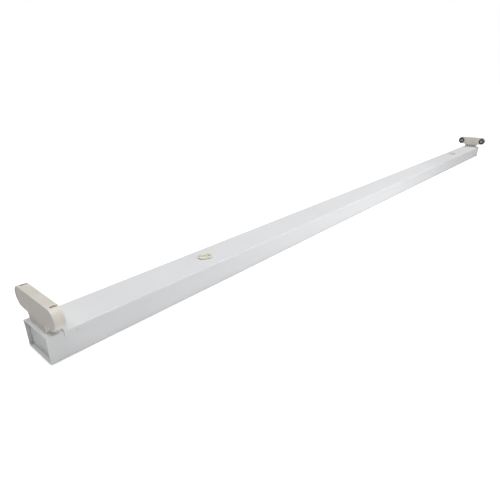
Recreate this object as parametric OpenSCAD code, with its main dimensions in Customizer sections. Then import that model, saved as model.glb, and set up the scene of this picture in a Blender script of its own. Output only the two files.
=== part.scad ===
// Open batten for two straight tubes: a folded steel channel with a lift-off lid
// between two twin lampholders. It lies on its back, with the lampholders up.
// X runs along the tubes, from the near end (-X) to the far end (+X).
// Z = 0 is the face that goes against the ceiling, and all sizes are millimetres.

/* [Tubes] */
// Free distance between the faces of the two lampholders
lamp_gap = 1501; // [1441:1:1820]
// Distance between the axes of the two tubes
lamp_spacing = 64; // [61:0.5:80]
// Height of the tube axes above the back
lamp_height = 50.3; // [50:0.1:58]

/* [Housing] */
// Width over the lid
body_w = 50; // [49:0.5:64]
// Height from the back to the top of the lid
body_h = 30; // [28:0.5:31]
// Thickness of the painted steel sheet
sheet_t = 0.6; // [0.5:0.05:0.8]
// Outer radius of the folds
bend_r = 1.2; // [1:0.1:2]
// Depth of the side lips of the lid and the end bridges
lip_h = 6; // [5:0.5:8]
// Play between the lips and the channel's walls
nest_gap = 0.1; // [0.05:0.05:0.2]
// From the channel's end to the lampholder's outer face
end_margin = 4; // [3.6:0.1:8]
// Width of the slit between the lid and each end bridge
lid_slit = 0.8; // [0.5:0.1:2]
// Steel of the end bridge that shows in front of the lampholder
bridge_front = 1.6; // [1:0.1:4]

/* [End plates] */
// Gap between the plate and the foot of the lampholder, which sets how deep the plate stands
plate_gap = 0.25; // [0.15:0.05:2]
// Length of the foot that is riveted to the floor
plate_foot = 5.5; // [5:0.1:6.5]
// Radius of the half-punched knockout
knockout_r = 10.5; // [7:0.5:11.5]
// Width of the tool slot at the knockout's rim
tool_slot = 2; // [1:0.1:3]
// Distance of each rivet from the middle of the foot
plate_rivet_y = 15; // [12:0.5:19]

/* [Lampholders] */
// Thickness of a lampholder
holder_t = 10.5; // [10.3:0.1:13]
// Radius of the rounded end of an arm
arm_r = 11.6; // [11.4:0.1:12.4]
// How far the arm's round end lies inboard of the tube axis
arm_inboard = 0.5; // [0:0.1:0.8]
// How far the arm's round end lies above the tube axis
arm_above = 0.6; // [0:0.1:0.8]
// Half the width of the neck under the arms
neck_top = 18.6; // [18.2:0.1:19.4]
// Half the width of the neck on the bridge
neck_base = 17.25; // [17:0.05:17.9]
// Radius of the hollow corner between arm and neck
neck_fillet = 3.5; // [2:0.5:5]
// Thickness of the front piece, up to the seam
face_t = 3.2; // [2.9:0.1:3.8]
// How far the front piece steps in at the seam
face_step = 0.3; // [0.1:0.1:0.5]
// Wall of the mouldings
wall = 1.5; // [1.3:0.1:1.6]
// Floor of the rear piece
back_t = 1.2; // [1.1:0.1:1.4]
// Depth of the panel on the rear face
panel_depth = 0.4; // [0.2:0.1:0.5]
// Width of the rim round that panel
panel_rim = 1.1; // [0.8:0.1:2]
// Depth of the foot below the bridge's top
foot_h = 9; // [6:0.5:12]
// Play of the foot in its cut-out
foot_gap = 0.15; // [0.1:0.05:0.3]

/* [Sockets] */
// Width of the moulding round the black ring
ring_wall = 2.6; // [2.4:0.1:3.2]
// Radius of the light core in a ring of the usual size
core_size = 4; // [3.4:0.1:4.4]
// Width of the slot for the tube's pins in such a ring
slot_size = 2.8; // [2.5:0.1:3.2]
// Radial play of the turning pieces
run_gap = 0.06; // [0.03:0.01:0.1]
// Distance between the four wire windows
window_pitch = 7.3; // [6.5:0.1:7.6]
// Width of a wire window
window_w = 3.5; // [2.5:0.1:4]
// Height of a wire window
window_h = 4; // [3:0.1:5]

/* [Lid fasteners] */
// Distance between the two turn fasteners
fastener_pitch = 1088; // [800:2:1120]
// Length of the turn knob
knob_l = 20; // [19:0.5:30]
// Width of the turn knob
knob_w = 14; // [11:0.5:16]
// Thickness of the knob's plate
knob_t = 2; // [1.5:0.1:3]
// Height of the finger rib above the plate
rib_h = 2.6; // [1:0.1:4]
// Radius of the knob's shank in the lid
shank_r = 4; // [3.4:0.1:4.4]
// Length of the latch bar under the bracket
bar_l = 13; // [12:0.5:16]
// Width of the latch bar
bar_w = 4.2; // [3.6:0.1:5]
// Thickness of the latch bar
bar_t = 3; // [2.4:0.1:4]
// Thickness of the bracket
bracket_t = 1; // [0.8:0.1:1.2]
// Width of the bracket along the channel
bracket_w = 24; // [20:1:36]

/* [Fixing and supply] */
// Distance between the two ceiling slots
fixing_pitch = 1200; // [1120:5:1260]
// Width of a ceiling slot
fixing_slot_w = 5.5; // [4:0.5:8]
// Length of a ceiling slot
fixing_slot_l = 14; // [10:0.5:24]
// Radius of the supply cable's way through the bush
cable_r = 4.5; // [3:0.1:5]
// Distance of the cable bush from the middle
cable_x = 52; // [48:1:70]

/* [Wiring] */
// Radius of an internal lead
lead_r = 1.1; // [0.8:0.05:1.15]
// Distance between the poles of the terminal block
pole_pitch = 8; // [7:0.5:8.5]
// Depth of the terminal block across the channel
block_w = 20; // [18:0.5:20]
// Height of the terminal block
block_h = 14; // [13:0.5:16]

/* [Hidden] */
$fn = 48;
cut = 1;
close_gap = 0.15;
seat_gap = 0.3;
seam_gap = 0.05;

// Folded sheet and places along the channel
end_x = lamp_gap/2 + holder_t + end_margin;
face_x = lamp_gap/2;
lid_in_z = body_h - sheet_t;
chan_half = body_w/2 - sheet_t - nest_gap;
inner_half = chan_half - sheet_t;
fold_in = bend_r - sheet_t;
rim_drop = fold_in > nest_gap ? fold_in - sqrt(2*fold_in*nest_gap - nest_gap*nest_gap) : 0;
rim_play = 0.02;
rim_z = lid_in_z - rim_drop - rim_play;
bridge_l = end_margin + holder_t + bridge_front;
lid_l = 2*(end_x - bridge_l - lid_slit);

// Scored line round the knockout, and the radius of its tool slot
score_w = 0.6;
score_depth = 0.2;
tool_r = 3.4;

// Pressed marks on the lid's lips, just inside each end
dimple_r = 1.6;
dimple_depth = 0.35;
dimple_in = 12;
dimple_drop = 4;

// Blind rivets, flush with the back
rivet_r = 1.5;
rivet_play = 0.05;
rivet_head_r = 2.2;
rivet_head_h = 0.9;

// Lampholder, drawn for the far end, from its tube side outwards
arm_y = lamp_spacing/2 - arm_inboard;
arm_z = lamp_height + arm_above;
arm_low = arm_z - arm_r;
socket_y = lamp_spacing/2;
sides = [1, -1];
back_in = holder_t - back_t;
foot_inset = 0.65;
foot_half = neck_base - foot_inset;
foot_front = face_t + foot_gap;
foot_back = holder_t - foot_inset;
plate_recess = end_margin + foot_inset - plate_gap - sheet_t;
foot_wall = 1.4;
hook_out = 1;
hook_h = 1.8;
hook_w = 3;
window_up = 5.5;
mark_w = 0.6;
mark_l = 9;
mark_depth = 0.2;
mark_in = 13;

// Release marks moulded in the rear face, behind the wire windows
rear_mark_w = 2;
rear_mark_h = 1.1;
rear_mark_depth = 0.3;
panel_up = 2.4;

// Turning socket: a black rotor and its light core
ring_r = arm_r - ring_wall;
usual_ring = 9;
socket_scale = ring_r/usual_ring;
core_r = core_size*socket_scale;
pin_slot = slot_size*socket_scale;
rotor_front = 0.2;
core_front = 0.05;
flange_out = 0.4;
flange_t = 0.8;
drum_step = 1.5;
rotor_floor = 0.7;
pivot_r = 2;
pivot_l = 1;
boss_wall = 1.4;
core_floor = 0.6;
core_play = 0.05;
rabbet_w = 1.2;
rabbet_depth = 0.8;
nib_w = 2.4;
drum_r = ring_r - drum_step*socket_scale;
strip_t = 0.4;
strip_play = 0.25;
rotor_back = back_in - close_gap - strip_t - strip_play;
slot_end = rotor_back - rotor_floor;
flange_front = wall + close_gap;

// Contacts beside and behind each rotor
strip_w = 2.4;
leaf_w = 4;
leaf_front = 3.5;
leaf_gap = 0.3;
cage_half = 1.65;
cage_in = 1.25;
cage_up = 3;
cage_l = 5;
strip_back = back_in - close_gap;
strip_front = strip_back - strip_t;
low_bar_top = lamp_height - pivot_r - boss_wall - seat_gap;
leaf_y = drum_r + leaf_gap;
riser_y = pivot_r + boss_wall + seat_gap;

// Turn fasteners between lid and bracket
shank_play = 0.06;
eye_r = 1.8;
eye_in = 5;
rib_w = 2.2;
rib_l = 9;
rib_in = 2;
collar_r = 5.6;
collar_t = 2.2;
latch_neck_in = 0.4;
peg_r = 2.5;
peg_play = 0.05;
latch_floor = 1.2;
bar_play = 0.4;
bracket_foot = 5.5;
bracket_edge = fold_in + seam_gap;
fastener_x = fastener_pitch/2;
collar_z = lid_in_z - close_gap - collar_t;
bracket_z = collar_z - seat_gap - bracket_t;
bar_z = bracket_z - seat_gap - bar_t;
leg_out = inner_half - bracket_edge - bracket_foot;
leg_in = leg_out - bracket_t;
foot_rivet_y = leg_out + bracket_foot/2;
knob_turns = [-25, 65];

// Cable bush in the floor
bush_wall = 1.9;
bush_flange = 2.1;
bush_flange_t = 1.4;
bush_h = 4;
bush_r = cable_r + bush_wall;

// Terminal block with its clamps and screws
poles = [-2, -1, 0, 1, 2];
block_end = 6;
block_l = 4*pole_pitch + 2*block_end;
clamp_w = 5;
clamp_h = 4.6;
clamp_l = 16;
clamp_low = 2.7;
clamp_bore = 1.4;
clamp_play = 0.1;
mouth_r = 1.5;
pole_screw_r = 1.7;
pole_screw_y = 5;
pole_screw_l = 5.5;
well_play = 0.15;
driver_slot_w = 0.7;
driver_slot_depth = 0.8;
ear_l = 8;
ear_w = 9;
ear_h = 4;
ear_screw_r = 1.5;
ear_head_r = 2.8;
ear_head_h = 1.9;
pole_z = sheet_t + clamp_low + clamp_h/2;
ear_x = block_l/2 + ear_l/2;

// Internal leads: height above the floor, places across the channel, and clips
lead_lift = 0.1;
lead_apart = 0.5;
lead_sides = 8;
lead_z = sheet_t + lead_lift + lead_r;
run_y = [leg_in - bracket_edge - 3*lead_r - lead_apart, leg_in - bracket_edge - lead_r];
lead_in = 7;
lead_drop = 16;
shift_l = 46;
shift_start = 70;
lead_short = 1;
end_y = [-window_pitch/2, window_pitch/2];
lead_u = (foot_front + foot_back)/2;
clip_in = 92;
clip_x = [130, 320, face_x - clip_in];
clip_w = 6;
clip_t = 1.2;
clip_play = 0.25;

// Earth point
earth_x = -54;
earth_y = -13;
stud_r = 2;
stud_foot_r = 3.2;
stud_foot_t = 0.8;
stud_h = 9;
tag_r = 4;
tag_t = 0.8;
tag_barrel_r = 1.7;
tag_barrel_l = 7;
tag_play = 0.05;
tag_neck_half = 1.4;
nut_r = 4.04;
nut_h = 3.2;
barrel_x = earth_x + nut_r + seat_gap;
earth_z = sheet_t + stud_foot_t;

white_paint = [0.93, 0.93, 0.94];
zinc = [0.72, 0.73, 0.75];
beige = [0.80, 0.78, 0.74];
cream = [0.90, 0.88, 0.76];

// Turns what is drawn for the far end round to the near one
module at_end(end) {
  rotate([0, 0, end > 0 ? 0 : 180]) children();
}

// Extrudes an outline in Y and Z between two places along X
module slab(from_x, to_x) {
  translate([from_x, 0, 0]) rotate([90, 0, 90]) linear_extrude(to_x - from_x) children();
}

// A slab of the far lampholder, measured outwards from its face
module holder_slab(from_u, to_u) {
  slab(face_x + from_u, face_x + to_u) children();
}

// A block given by its two corners
module block(low, high) {
  translate(low) cube(high - low);
}

// A rod along X between two places
module rod_x(radius, from_x, to_x, y, z) {
  translate([from_x, y, z]) rotate([0, 90, 0]) cylinder(r = radius, h = to_x - from_x);
}

// A rod along X in the far lampholder, on the axis of one socket
module socket_rod(side, radius, from_u, to_u) {
  rod_x(radius, face_x + from_u, face_x + to_u, side*socket_y, lamp_height);
}

// Rectangle that stands on the Y axis, with its two lower corners rounded
module rounded_floor(width, height, radius) {
  translate([-width/2, radius]) square([width, height - radius]);
  translate([-width/2 + radius, 0]) square([width - 2*radius, height]);
  for (side = sides)
    translate([side*(width/2 - radius), radius]) circle(radius);
}

// Section of a sheet folded up on both sides
module folded(width, height) {
  difference() {
    rounded_floor(width, height, bend_r);
    translate([0, sheet_t]) rounded_floor(width - 2*sheet_t, height, bend_r - sheet_t);
  }
}

// Section of the lid and of the end bridges, with the lips down
module lid_section() {
  translate([0, body_h]) mirror([0, 1]) folded(body_w, lip_h);
}

// Floor channel that carries everything and is screwed to the ceiling
module base_channel() {
  color(white_paint) difference() {
    slab(-end_x, end_x) folded(2*chan_half, rim_z);
    for (side = sides) {
      translate([side*fixing_pitch/2, 0, 0]) fixing_slot();
      translate([side*ear_x, 0, -cut]) cylinder(r = ear_screw_r + rivet_play, h = sheet_t + 2*cut);
      at_end(side) plate_rivet_places() rivet_hole();
      at_end(side) bracket_rivet_places() rivet_hole();
    }
    translate([cable_x, 0, -cut]) cylinder(r = bush_r, h = sheet_t + 2*cut);
  }
}

module fixing_slot() {
  half = (fixing_slot_l - fixing_slot_w)/2;
  for (side = sides)
    translate([side*half, 0, -cut]) cylinder(r = fixing_slot_w/2, h = sheet_t + 2*cut);
  block([-half, -fixing_slot_w/2, -cut], [half, fixing_slot_w/2, sheet_t + cut]);
}

module rivet_hole() {
  translate([0, 0, -cut]) cylinder(r = rivet_r + rivet_play, h = body_h/2);
}

module plate_rivet_places() {
  for (side = sides)
    translate([end_x - plate_recess - sheet_t - plate_foot/2, side*plate_rivet_y, 0]) children();
}

module bracket_rivet_places() {
  for (side = sides)
    translate([fastener_x, side*foot_rivet_y, 0]) children();
}

module rivet(grip) {
  cylinder(r = rivet_r, h = grip);
  translate([0, 0, grip]) cylinder(r = rivet_head_r, h = rivet_head_h);
}

// Set-back end plate with a half-punched cable knockout
module end_plate() {
  outer = end_x - plate_recess;
  inner = outer - sheet_t;
  half = inner_half - close_gap;
  mid_z = (sheet_t + lid_in_z)/2;
  shift = (knockout_r + tool_r - tool_slot)/sqrt(2);
  color(white_paint) difference() {
    union() {
      slab(inner, outer)
        translate([0, sheet_t]) rounded_floor(2*half, lid_in_z - close_gap - sheet_t, fold_in);
      block([inner - plate_foot, fold_in - half, sheet_t], [outer, half - fold_in, 2*sheet_t]);
    }
    intersection() {
      rod_x(knockout_r, inner - cut, outer + cut, 0, mid_z);
      rod_x(tool_r, inner - 2*cut, outer + 2*cut, -shift, mid_z + shift);
    }
    difference() {
      rod_x(knockout_r, outer - score_depth, outer + cut, 0, mid_z);
      rod_x(knockout_r - score_w, outer - 2*score_depth, outer + 2*cut, 0, mid_z);
    }
    plate_rivet_places() rivet_hole();
  }
}

module end_plate_rivets() {
  color(zinc)
    for (end = sides)
      at_end(end) plate_rivet_places() rivet(2*sheet_t);
}

// Short roof at the end of the channel that the lampholder clips into
module end_bridge() {
  color(white_paint) difference() {
    slab(end_x - bridge_l, end_x) lid_section();
    block(
      [face_x + foot_front - foot_gap, -foot_half - foot_gap, lid_in_z - cut],
      [face_x + foot_back + foot_gap, foot_half + foot_gap, body_h + cut]
    );
  }
}

// Lift-off lid with the two fastener holes and a pressed mark near each end of its lips
module cover_lid() {
  color(white_paint) difference() {
    slab(-lid_l/2, lid_l/2) lid_section();
    for (end = sides) {
      translate([end*fastener_x, 0, lid_in_z - cut])
        cylinder(r = shank_r + shank_play, h = sheet_t + 2*cut);
      for (side = sides)
        translate([end*(lid_l/2 - dimple_in), side*(body_w/2 - dimple_depth), body_h - dimple_drop])
          rotate([-side*90, 0, 0]) cylinder(r = dimple_r, h = cut);
    }
  }
}

// Outline of a lampholder, drawn in by the inset and cut off at the height low
module holder_outline(inset, low) {
  intersection() {
    translate([-arm_y - arm_r, low]) square([2*(arm_y + arm_r), arm_z + arm_r - low]);
    arms_and_neck(inset, low);
  }
}

module arms_and_neck(inset, low) {
  for (side = sides) {
    translate([side*arm_y, arm_z]) circle(arm_r - inset);
    translate([side*(neck_top + neck_fillet), 0]) mirror([side > 0 ? 1 : 0, 0])
      difference() {
        translate([0, arm_low - neck_fillet]) square([neck_fillet + inset, neck_fillet + inset]);
        translate([0, arm_low - neck_fillet]) circle(neck_fillet + inset);
      }
  }
  translate([-arm_y, arm_low + inset]) square([2*arm_y, 2*(arm_r - inset)]);
  polygon([
    [-(neck_top - inset), arm_z],
    [-(neck_top - inset), arm_low - neck_fillet],
    [-(neck_base - inset), low],
    [neck_base - inset, low],
    [neck_top - inset, arm_low - neck_fillet],
    [neck_top - inset, arm_z]
  ]);
}

// Slot over one socket that lets the tube's pins in from above
module pin_entry(side, from_u, to_u) {
  block(
    [face_x + from_u, side*socket_y - pin_slot/2, lamp_height],
    [face_x + to_u, side*socket_y + pin_slot/2, arm_z + arm_r + cut]
  );
}

// Rear moulding of a lampholder: side walls, floor, pivots and the clip-in foot
module holder_body() {
  foot_low = body_h - foot_h;
  color(beige) difference() {
    union() {
      difference() {
        holder_slab(face_t + seam_gap, holder_t) holder_outline(0, body_h);
        holder_slab(face_t - cut, back_in) holder_outline(wall, body_h + wall);
      }
      for (side = sides)
        socket_rod(side, pivot_r + run_gap + boss_wall, rotor_back + close_gap, back_in + cut/4);
      block([face_x + foot_front, -foot_half, foot_low], [face_x + foot_back, foot_half, body_h + wall/2]);
      for (side = sides)
        foot_hook(side);
    }
    block(
      [face_x + foot_front + foot_wall, -foot_half + foot_wall, foot_low - cut],
      [face_x + foot_back - foot_wall, foot_half - foot_wall, body_h + wall + cut/2]
    );
    holder_slab(holder_t - panel_depth, holder_t + cut) holder_outline(panel_rim, body_h + panel_up);
    for (side = sides) {
      pin_entry(side, face_t - cut, slot_end);
      socket_rod(side, pivot_r + run_gap, rotor_back, rotor_back + pivot_l + close_gap);
    }
    for (i = [-1.5:1:1.5])
      translate([face_x + holder_t - panel_depth - rear_mark_depth, i*window_pitch, body_h + window_up])
        translate([0, -rear_mark_w/2, -rear_mark_h/2]) cube([cut, rear_mark_w, rear_mark_h]);
  }
}

// Snap ledge under the bridge's sheet, on one side of the foot
module foot_hook(side) {
  mid = face_x + (foot_front + foot_back)/2;
  top = lid_in_z - close_gap;
  slab(mid - hook_w/2, mid + hook_w/2)
    polygon([
      [side*(foot_half - foot_wall), top],
      [side*(foot_half + hook_out), top],
      [side*foot_half, top - hook_h],
      [side*(foot_half - foot_wall), top - hook_h]
    ]);
}

// Front moulding of a lampholder, with the two sockets and the four wire windows
module holder_face() {
  color(beige) {
    difference() {
      holder_slab(0, face_t) holder_outline(face_step, body_h);
      holder_slab(wall, face_t + cut) holder_outline(wall + face_step, body_h + wall);
      for (side = sides) {
        pin_entry(side, -cut, face_t + cut);
        socket_rod(side, ring_r + run_gap, -cut, wall + cut/4);
        socket_rod(side, ring_r + flange_out + close_gap, wall, face_t + cut);
        block(
          [face_x - cut, side*(socket_y - mark_in) - mark_w/2, lamp_height - mark_l/2],
          [face_x + mark_depth, side*(socket_y - mark_in) + mark_w/2, lamp_height + mark_l/2]
        );
      }
      for (i = [-1.5:1:1.5])
        translate([face_x - cut, i*window_pitch - window_w/2, body_h + window_up - window_h/2])
          cube([wall + 2*cut, window_w, window_h]);
    }
    for (side = sides)
      index_nib(side);
  }
}

// Light nib at the foot of each socket, in the rabbet of the black ring
module index_nib(side) {
  low = lamp_height - ring_r - face_step;
  block(
    [face_x + rotor_front, side*socket_y - nib_w/2, low],
    [face_x + rotor_front + rabbet_depth - close_gap, side*socket_y + nib_w/2, low + rabbet_w + face_step/2]
  );
}

// Black rotor with the slot that takes the tube's pins
module socket_rotor(side) {
  reach = ring_r + flange_out + cut;
  rabbet_u = rotor_front + rabbet_depth;
  color([0.09, 0.09, 0.09]) difference() {
    union() {
      socket_rod(side, ring_r - rabbet_w, rotor_front, rabbet_u + cut/4);
      socket_rod(side, ring_r, rabbet_u, flange_front + flange_t/2);
      socket_rod(side, ring_r + flange_out, flange_front, flange_front + flange_t);
      socket_rod(side, drum_r, rabbet_u, rotor_back);
      socket_rod(side, pivot_r, rotor_back - rotor_floor/2, rotor_back + pivot_l);
    }
    socket_rod(side, core_r + core_play, rotor_front - cut, slot_end);
    block(
      [face_x + rotor_front - cut, side*socket_y - pin_slot/2, lamp_height - reach],
      [face_x + slot_end, side*socket_y + pin_slot/2, lamp_height + reach]
    );
  }
}

// Light core of a rotor, split by the same slot
module rotor_core(side) {
  color([0.88, 0.87, 0.84]) difference() {
    socket_rod(side, core_r, core_front, slot_end);
    block(
      [face_x + core_front - cut, side*socket_y - pin_slot/2, lamp_height - core_r - cut],
      [face_x + slot_end - core_floor, side*socket_y + pin_slot/2, lamp_height + core_r + cut]
    );
  }
}

// Four brass contacts, each from its wire clamp to a leaf beside a rotor
module contacts() {
  color([0.80, 0.66, 0.35])
    for (side = sides) {
      inner_contact(side);
      outer_contact(side);
    }
}

// Flat strip behind the rotors, given by its places across and up
module strip(side, from_y, to_y, from_z, to_z) {
  near = min(side*from_y, side*to_y);
  far = max(side*from_y, side*to_y);
  block([face_x + strip_front, near, from_z], [face_x + strip_back, far, to_z]);
}

// Leaf that stands forward beside the rotor
module leaf(side, from_y) {
  near = min(side*from_y, side*(from_y + strip_t));
  block(
    [face_x + leaf_front, near, lamp_height - leaf_w/2],
    [face_x + strip_back, near + strip_t, lamp_height + leaf_w/2]
  );
}

// Square clamp that holds the end of a lead
module cage(y) {
  low = body_h + cage_up;
  difference() {
    block([face_x + lead_u - cage_half, y - cage_half, low], [face_x + strip_back, y + cage_half, low + cage_l]);
    block(
      [face_x + lead_u - cage_in, y - cage_in, low - cut],
      [face_x + lead_u + cage_in, y + cage_in, low + cage_l + cut]
    );
  }
}

module inner_contact(side) {
  y = window_pitch/2;
  cage(side*y);
  strip(side, y - strip_w/2, y + strip_w/2, body_h + cage_up, lamp_height + strip_w/2);
  strip(side, y, socket_y - leaf_y, lamp_height - strip_w/2, lamp_height + strip_w/2);
  leaf(side, socket_y - leaf_y - strip_t);
}

module outer_contact(side) {
  y = 1.5*window_pitch;
  post = socket_y + riser_y;
  cage(side*y);
  strip(side, y - strip_w/2, y + strip_w/2, body_h + cage_up, low_bar_top);
  strip(side, y, post + strip_w, low_bar_top - strip_w, low_bar_top);
  strip(side, post, post + strip_w, low_bar_top - strip_w, lamp_height + leaf_w/2);
  strip(side, post, socket_y + leaf_y + strip_t, lamp_height - leaf_w/2, lamp_height + leaf_w/2);
  leaf(side, socket_y + leaf_y);
}

// Oblong turn knob with a finger rib, an eye and a shank through the lid
module turn_knob(end) {
  round_r = knob_w/2;
  half = knob_l/2 - round_r;
  peg_low = bar_z + latch_floor + peg_play;
  shank_low = collar_z + collar_t + peg_play;
  color(cream) translate([end*fastener_x, 0, 0]) {
    rotate([0, 0, end > 0 ? knob_turns[1] : knob_turns[0]]) difference() {
      union() {
        translate([0, 0, body_h]) linear_extrude(knob_t) {
          translate([-half, -round_r]) square([2*half, knob_w]);
          for (side = sides)
            translate([side*half, 0]) circle(round_r);
        }
        translate([-knob_l/2 + rib_in, -rib_w/2, body_h + knob_t/2])
          cube([rib_l, rib_w, knob_t/2 + rib_h]);
      }
      translate([knob_l/2 - eye_in, 0, body_h + knob_t/4]) cylinder(r = eye_r, h = knob_t + cut);
    }
    translate([0, 0, shank_low]) cylinder(r = shank_r, h = body_h + knob_t/2 - shank_low);
    translate([0, 0, peg_low]) cylinder(r = peg_r, h = body_h - peg_low);
  }
}

// Latch bar on the knob's peg, in line with the bracket's slot at rest
module latch_bar(end) {
  color(cream) translate([end*fastener_x, 0, 0]) difference() {
    union() {
      translate([0, 0, collar_z]) cylinder(r = collar_r, h = collar_t);
      translate([0, 0, bar_z]) cylinder(r = shank_r - latch_neck_in, h = collar_z + collar_t/2 - bar_z);
      intersection() {
        translate([-bar_l/2, -bar_w/2, bar_z]) cube([bar_l, bar_w, bar_t]);
        translate([0, 0, bar_z - cut]) cylinder(r = bar_l/2, h = bar_t + 2*cut);
      }
    }
    translate([0, 0, bar_z + latch_floor]) cylinder(r = peg_r + peg_play, h = body_h);
  }
}

// Steel bracket on the floor that the latch bar turns under
module latch_bracket() {
  foot_out = leg_out + bracket_foot;
  color(zinc) difference() {
    slab(fastener_x - bracket_w/2, fastener_x + bracket_w/2) {
      translate([-leg_out, bracket_z]) square([2*leg_out, bracket_t]);
      for (side = sides) {
        translate([side > 0 ? leg_in : -leg_out, sheet_t]) square([bracket_t, bracket_z + bracket_t - sheet_t]);
        translate([side > 0 ? leg_in : -foot_out, sheet_t]) square([foot_out - leg_in, bracket_t]);
      }
    }
    translate([fastener_x, 0, bracket_z - cut]) {
      translate([-bar_l/2 - bar_play, -bar_w/2 - bar_play, 0])
        cube([bar_l + 2*bar_play, bar_w + 2*bar_play, bracket_t + 2*cut]);
      cylinder(r = shank_r - latch_neck_in + seat_gap, h = bracket_t + 2*cut);
    }
    bracket_rivet_places() rivet_hole();
  }
}

module bracket_rivets() {
  color(zinc)
    for (end = sides)
      at_end(end) bracket_rivet_places() rivet(sheet_t + bracket_t);
}

// Rubber bush in the floor for the supply cable
module cable_bush() {
  color([0.16, 0.16, 0.17]) translate([cable_x, 0, 0]) difference() {
    union() {
      cylinder(r = bush_r - peg_play, h = sheet_t + bush_h);
      translate([0, 0, sheet_t]) cylinder(r = bush_r + bush_flange, h = bush_flange_t);
    }
    translate([0, 0, -cut]) cylinder(r = cable_r, h = sheet_t + bush_h + 2*cut);
  }
}

// Screw with a driver slot, standing on its tip
module slotted_screw(radius, length) {
  difference() {
    cylinder(r = radius, h = length);
    translate([-radius - cut, -driver_slot_w/2, length - driver_slot_depth])
      cube([2*(radius + cut), driver_slot_w, driver_slot_depth + cut]);
  }
}

// Five-pole terminal block: two live poles, earth, and two neutral poles
module terminal_block() {
  pocket = [clamp_w/2 + clamp_play, clamp_l/2 + clamp_play, clamp_h/2 + clamp_play];
  color([0.90, 0.90, 0.87]) difference() {
    union() {
      block([-block_l/2, -block_w/2, sheet_t], [block_l/2, block_w/2, sheet_t + block_h]);
      block([-block_l/2 - ear_l, -ear_w/2, sheet_t], [block_l/2 + ear_l, ear_w/2, sheet_t + ear_h]);
    }
    for (pole = poles)
      translate([pole*pole_pitch, 0, pole_z]) {
        block(-pocket, pocket);
        translate([0, block_w/2 + cut, 0]) rotate([90, 0, 0]) cylinder(r = mouth_r, h = block_w + 2*cut);
        for (side = sides)
          translate([0, side*pole_screw_y, 0]) cylinder(r = pole_screw_r + well_play, h = block_h);
      }
    for (side = sides)
      translate([side*ear_x, 0, 0]) cylinder(r = ear_screw_r + rivet_play, h = sheet_t + ear_h + cut);
  }
}

// Brass clamp of each pole
module terminal_clamps() {
  color([0.80, 0.66, 0.35])
    for (pole = poles)
      translate([pole*pole_pitch, 0, pole_z]) difference() {
        block([-clamp_w/2, -clamp_l/2, -clamp_h/2], [clamp_w/2, clamp_l/2, clamp_h/2]);
        translate([0, clamp_l/2 + cut, 0]) rotate([90, 0, 0]) cylinder(r = clamp_bore, h = clamp_l + 2*cut);
        for (side = sides)
          translate([0, side*pole_screw_y, 0]) cylinder(r = pole_screw_r + core_play, h = clamp_h);
      }
}

module terminal_screws() {
  color(zinc)
    for (pole = poles, side = sides)
      translate([pole*pole_pitch, side*pole_screw_y, pole_z + lead_r + core_play])
        slotted_screw(pole_screw_r, pole_screw_l);
}

module block_fixing_screws() {
  color(zinc)
    for (side = sides)
      translate([side*ear_x, 0, 0]) {
        cylinder(r = ear_screw_r, h = sheet_t + ear_h);
        translate([0, 0, sheet_t + ear_h]) slotted_screw(ear_head_r, ear_head_h);
      }
}

// Corner cutting, which rounds a route but keeps its two ends
function softened(p, times) =
  times == 0 ? p
  : softened(
      [p[0], for (i = [0:len(p) - 2]) each [(3*p[i] + p[i + 1])/4, (p[i] + 3*p[i + 1])/4], p[len(p) - 1]],
      times - 1
    );

function unit(v) = v/norm(v);

function along(p, i) = unit(p[min(i + 1, len(p) - 1)] - p[max(i - 1, 0)]);

function square_to(n, t) = unit(n - (n*t)*t);

// Round lead swept along a softened route, with its rings carried along without a twist
module lead(route, first_normal) {
  p = softened(route, 3);
  last = len(p) - 1;
  t = [for (i = [0:last]) along(p, i)];
  n = [for (i = 0, v = square_to(first_normal, t[0]); i <= last; i = i + 1, v = i <= last ? square_to(v, t[i]) : v) v];
  points = [
    for (i = [0:last], k = [0:lead_sides - 1])
      let (a = 360*k/lead_sides)
      p[i] + lead_r*(cos(a)*n[i] + sin(a)*cross(t[i], n[i]))
  ];
  walls = [
    for (i = [0:last - 1], k = [0:lead_sides - 1])
      let (a = i*lead_sides + k, b = i*lead_sides + (k + 1)%lead_sides)
      each [[a, b + lead_sides, b], [a, a + lead_sides, b + lead_sides]]
  ];
  caps = [
    [for (k = [0:lead_sides - 1]) k],
    [for (k = [lead_sides - 1:-1:0]) last*lead_sides + k]
  ];
  polyhedron(points, concat(walls, caps));
}

// Two leads from the block to the far lampholder
module lamp_leads() {
  for (k = [0, 1]) {
    x = (2 - k)*pole_pitch;
    end_lead_x = face_x + lead_u;
    lead(
      [
        [x, block_w/2 - lead_in, pole_z],
        [x, block_w/2, pole_z],
        [x, run_y[k], pole_z],
        [x + lead_drop, run_y[k], lead_z],
        [x + 2*lead_drop, run_y[k], lead_z],
        [end_lead_x - shift_start - lead_drop, run_y[k], lead_z],
        [end_lead_x - shift_start, run_y[k], lead_z],
        [end_lead_x - shift_start + shift_l, end_y[k], lead_z],
        [end_lead_x, end_y[k], lead_z],
        [end_lead_x, end_y[k], body_h + cage_up + cage_l - lead_short]
      ],
      [1, 0, 0]
    );
  }
}

module earth_lead() {
  color([0.45, 0.62, 0.20])
    lead(
      [
        [0, -block_w/2 + lead_in, pole_z],
        [0, -block_w/2, pole_z],
        [0, earth_y, pole_z],
        [-lead_drop, earth_y, earth_z + tag_barrel_r],
        [-2*lead_drop, earth_y, earth_z + tag_barrel_r],
        [barrel_x + lead_short, earth_y, earth_z + tag_barrel_r]
      ],
      [1, 0, 0]
    );
}

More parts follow.
